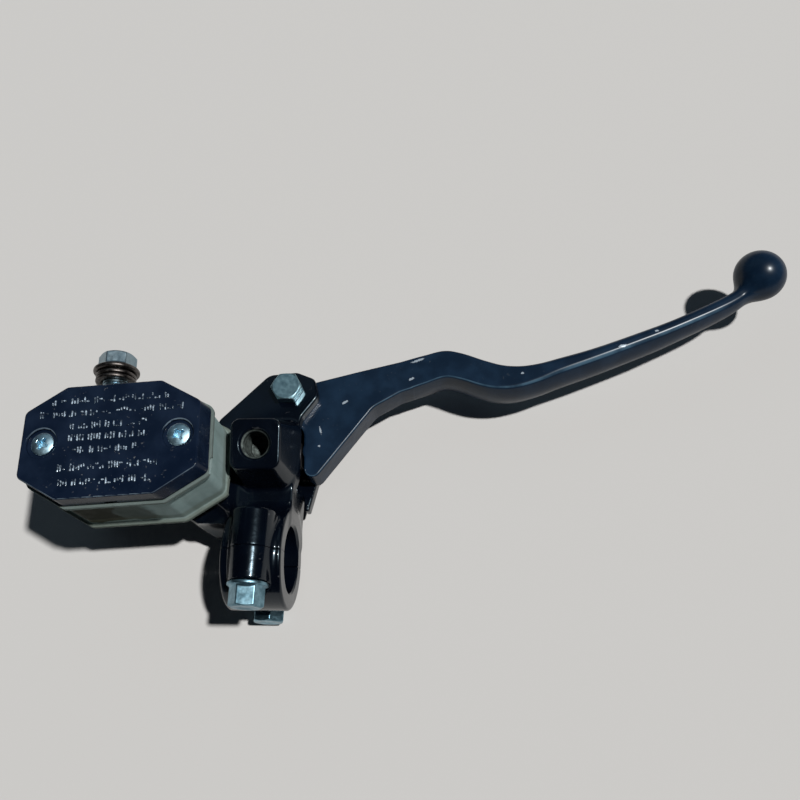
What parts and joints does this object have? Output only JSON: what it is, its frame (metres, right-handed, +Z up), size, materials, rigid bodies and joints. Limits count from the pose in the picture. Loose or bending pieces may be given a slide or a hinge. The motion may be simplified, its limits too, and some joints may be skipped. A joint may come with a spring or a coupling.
{
  "type": "brake master cylinder",
  "caption": "Motorcycle front brake master cylinder: handlebar clamp, octagonal fluid reservoir, angled barrel with line port, mirror boss and a swept ball-end lever.",
  "frame": {"origin": "centre of the handlebar clamp's bore, on the bar's axis, halfway across the clamp", "axes": "+X along the handlebar towards the lever's ball end, +Y forward, away from the rider, +Z up towards the reservoir cap"},
  "size_m": [0.2602, 0.1338, 0.0627],
  "materials": {
    "black_paint": "gloss black enamel on cast aluminium, worn at edges",
    "lever_paint": "satin blue-black paint on cast aluminium, chipped",
    "cap_paint": "gloss blue-black enamel",
    "tank_plastic": "translucent grey-green, aged",
    "zinc_steel": "bright blue zinc plating",
    "washer_metal": "dark, dull",
    "turned_aluminium": "turned and anodised",
    "spring_steel": "bright drawn",
    "bronze": "sintered, oiled",
    "rubber": "matte black",
    "white_plastic": "moulded, off-white"
  },
  "bodies": {
    "body": {"master_cylinder_body": "black_paint", "clamp_holder": "black_paint", "pivot_bolt": "zinc_steel", "pivot_nut": "zinc_steel", "clamp_bolt_upper": "zinc_steel", "clamp_bolt_lower": "zinc_steel", "reservoir": "tank_plastic", "reservoir_cap": "cap_paint", "cap_screw_left": "zinc_steel", "cap_screw_right": "zinc_steel", "diaphragm": "rubber", "diaphragm_plate": "white_plastic", "port_baffle": "white_plastic", "reservoir_screw_left": "zinc_steel", "reservoir_screw_right": "zinc_steel", "spigot_seal": "rubber", "banjo_bolt": "zinc_steel", "banjo_washer_outer": "washer_metal", "banjo_washer_inner": "washer_metal", "return_spring": "spring_steel", "stop_washer": "spring_steel", "circlip": "spring_steel", "dust_boot": "rubber"},
    "lever": {"brake_lever": "lever_paint", "pivot_bush": "bronze"},
    "piston": {"piston": "turned_aluminium", "primary_cup": "rubber", "secondary_cup": "rubber", "spring_seat": "spring_steel"}
  },
  "joints": [
    {"name": "lever_pivot", "type": "hinge", "parent": "body", "child": "lever", "pos_m": [0.0053, 0.0602, -0.004], "axis": [0, 0, -1], "range_deg": [0, 17], "stiffness_Nm_per_rad": 0.8, "springref_deg": -17.19},
    {"name": "piston_slide", "type": "slide", "parent": "body", "child": "piston", "axis": [-0.9977, -0.068, 0], "range_m": [0, 0.0069], "deforming": ["return_spring"]}
  ],
  "couplings": [
    {"joint": "piston_slide", "follows": "lever_pivot", "m_per_rad": 0.0232}
  ]
}
